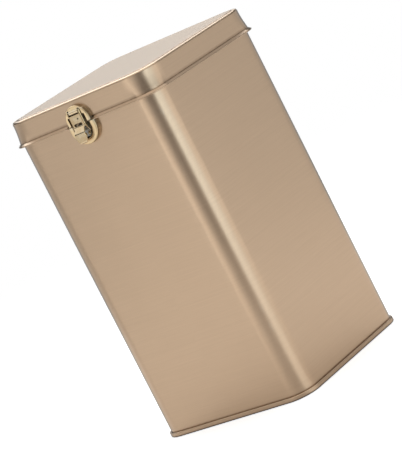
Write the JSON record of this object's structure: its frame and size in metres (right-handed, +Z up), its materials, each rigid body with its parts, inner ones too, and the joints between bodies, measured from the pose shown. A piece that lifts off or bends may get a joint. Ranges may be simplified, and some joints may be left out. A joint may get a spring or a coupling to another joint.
{
  "type": "cookie tin",
  "caption": "Tall square tinplate canister with rounded corners, a slip-over hinged lid with a flared hem, a double-seamed base and a small sprung hasp clasp.",
  "frame": {"origin": "centre of the square base, on the plane the seam rests on", "axes": "+Z up along the tin, -Y towards the clasp, +Y towards the hinge"},
  "size_m": [0.1212, 0.1271, 0.2157],
  "materials": {
    "tin": "brushed tinplate with a champagne gold lacquer",
    "tin_base": "same lacquered tinplate, rolled seam",
    "hinge": "brass-plated, satin",
    "clasp": "pale brass plating, polished",
    "rivets": "brass-plated",
    "pins": "bright drawn wire"
  },
  "bodies": {
    "body": {"body_wall": "tin", "bottom_end": "tin_base", "hinge_body_leaf": "hinge", "hinge_body_rivets": "rivets", "hinge_pin": "pins", "clasp_catch_plate": "clasp", "clasp_catch_hook": "clasp", "clasp_catch_rivets": "rivets"},
    "lid": {"lid_shell": "tin", "hinge_lid_leaf": "hinge", "hinge_lid_rivets": "rivets", "clasp_lid_plate": "clasp", "clasp_lid_rivets": "rivets"},
    "hasp": {"clasp_hasp": "clasp", "clasp_pin": "pins"}
  },
  "joints": [
    {"name": "lid_hinge", "type": "hinge", "parent": "body", "child": "lid", "pos_m": [0, 0.0604, 0.2007], "axis": [-1, 0, 0], "range_deg": [0, 110]},
    {"name": "hasp_pivot", "type": "hinge", "parent": "lid", "child": "hasp", "pos_m": [0, -0.0609, 0.2083], "axis": [-1, 0, 0], "range_deg": [0, 110]}
  ]
}
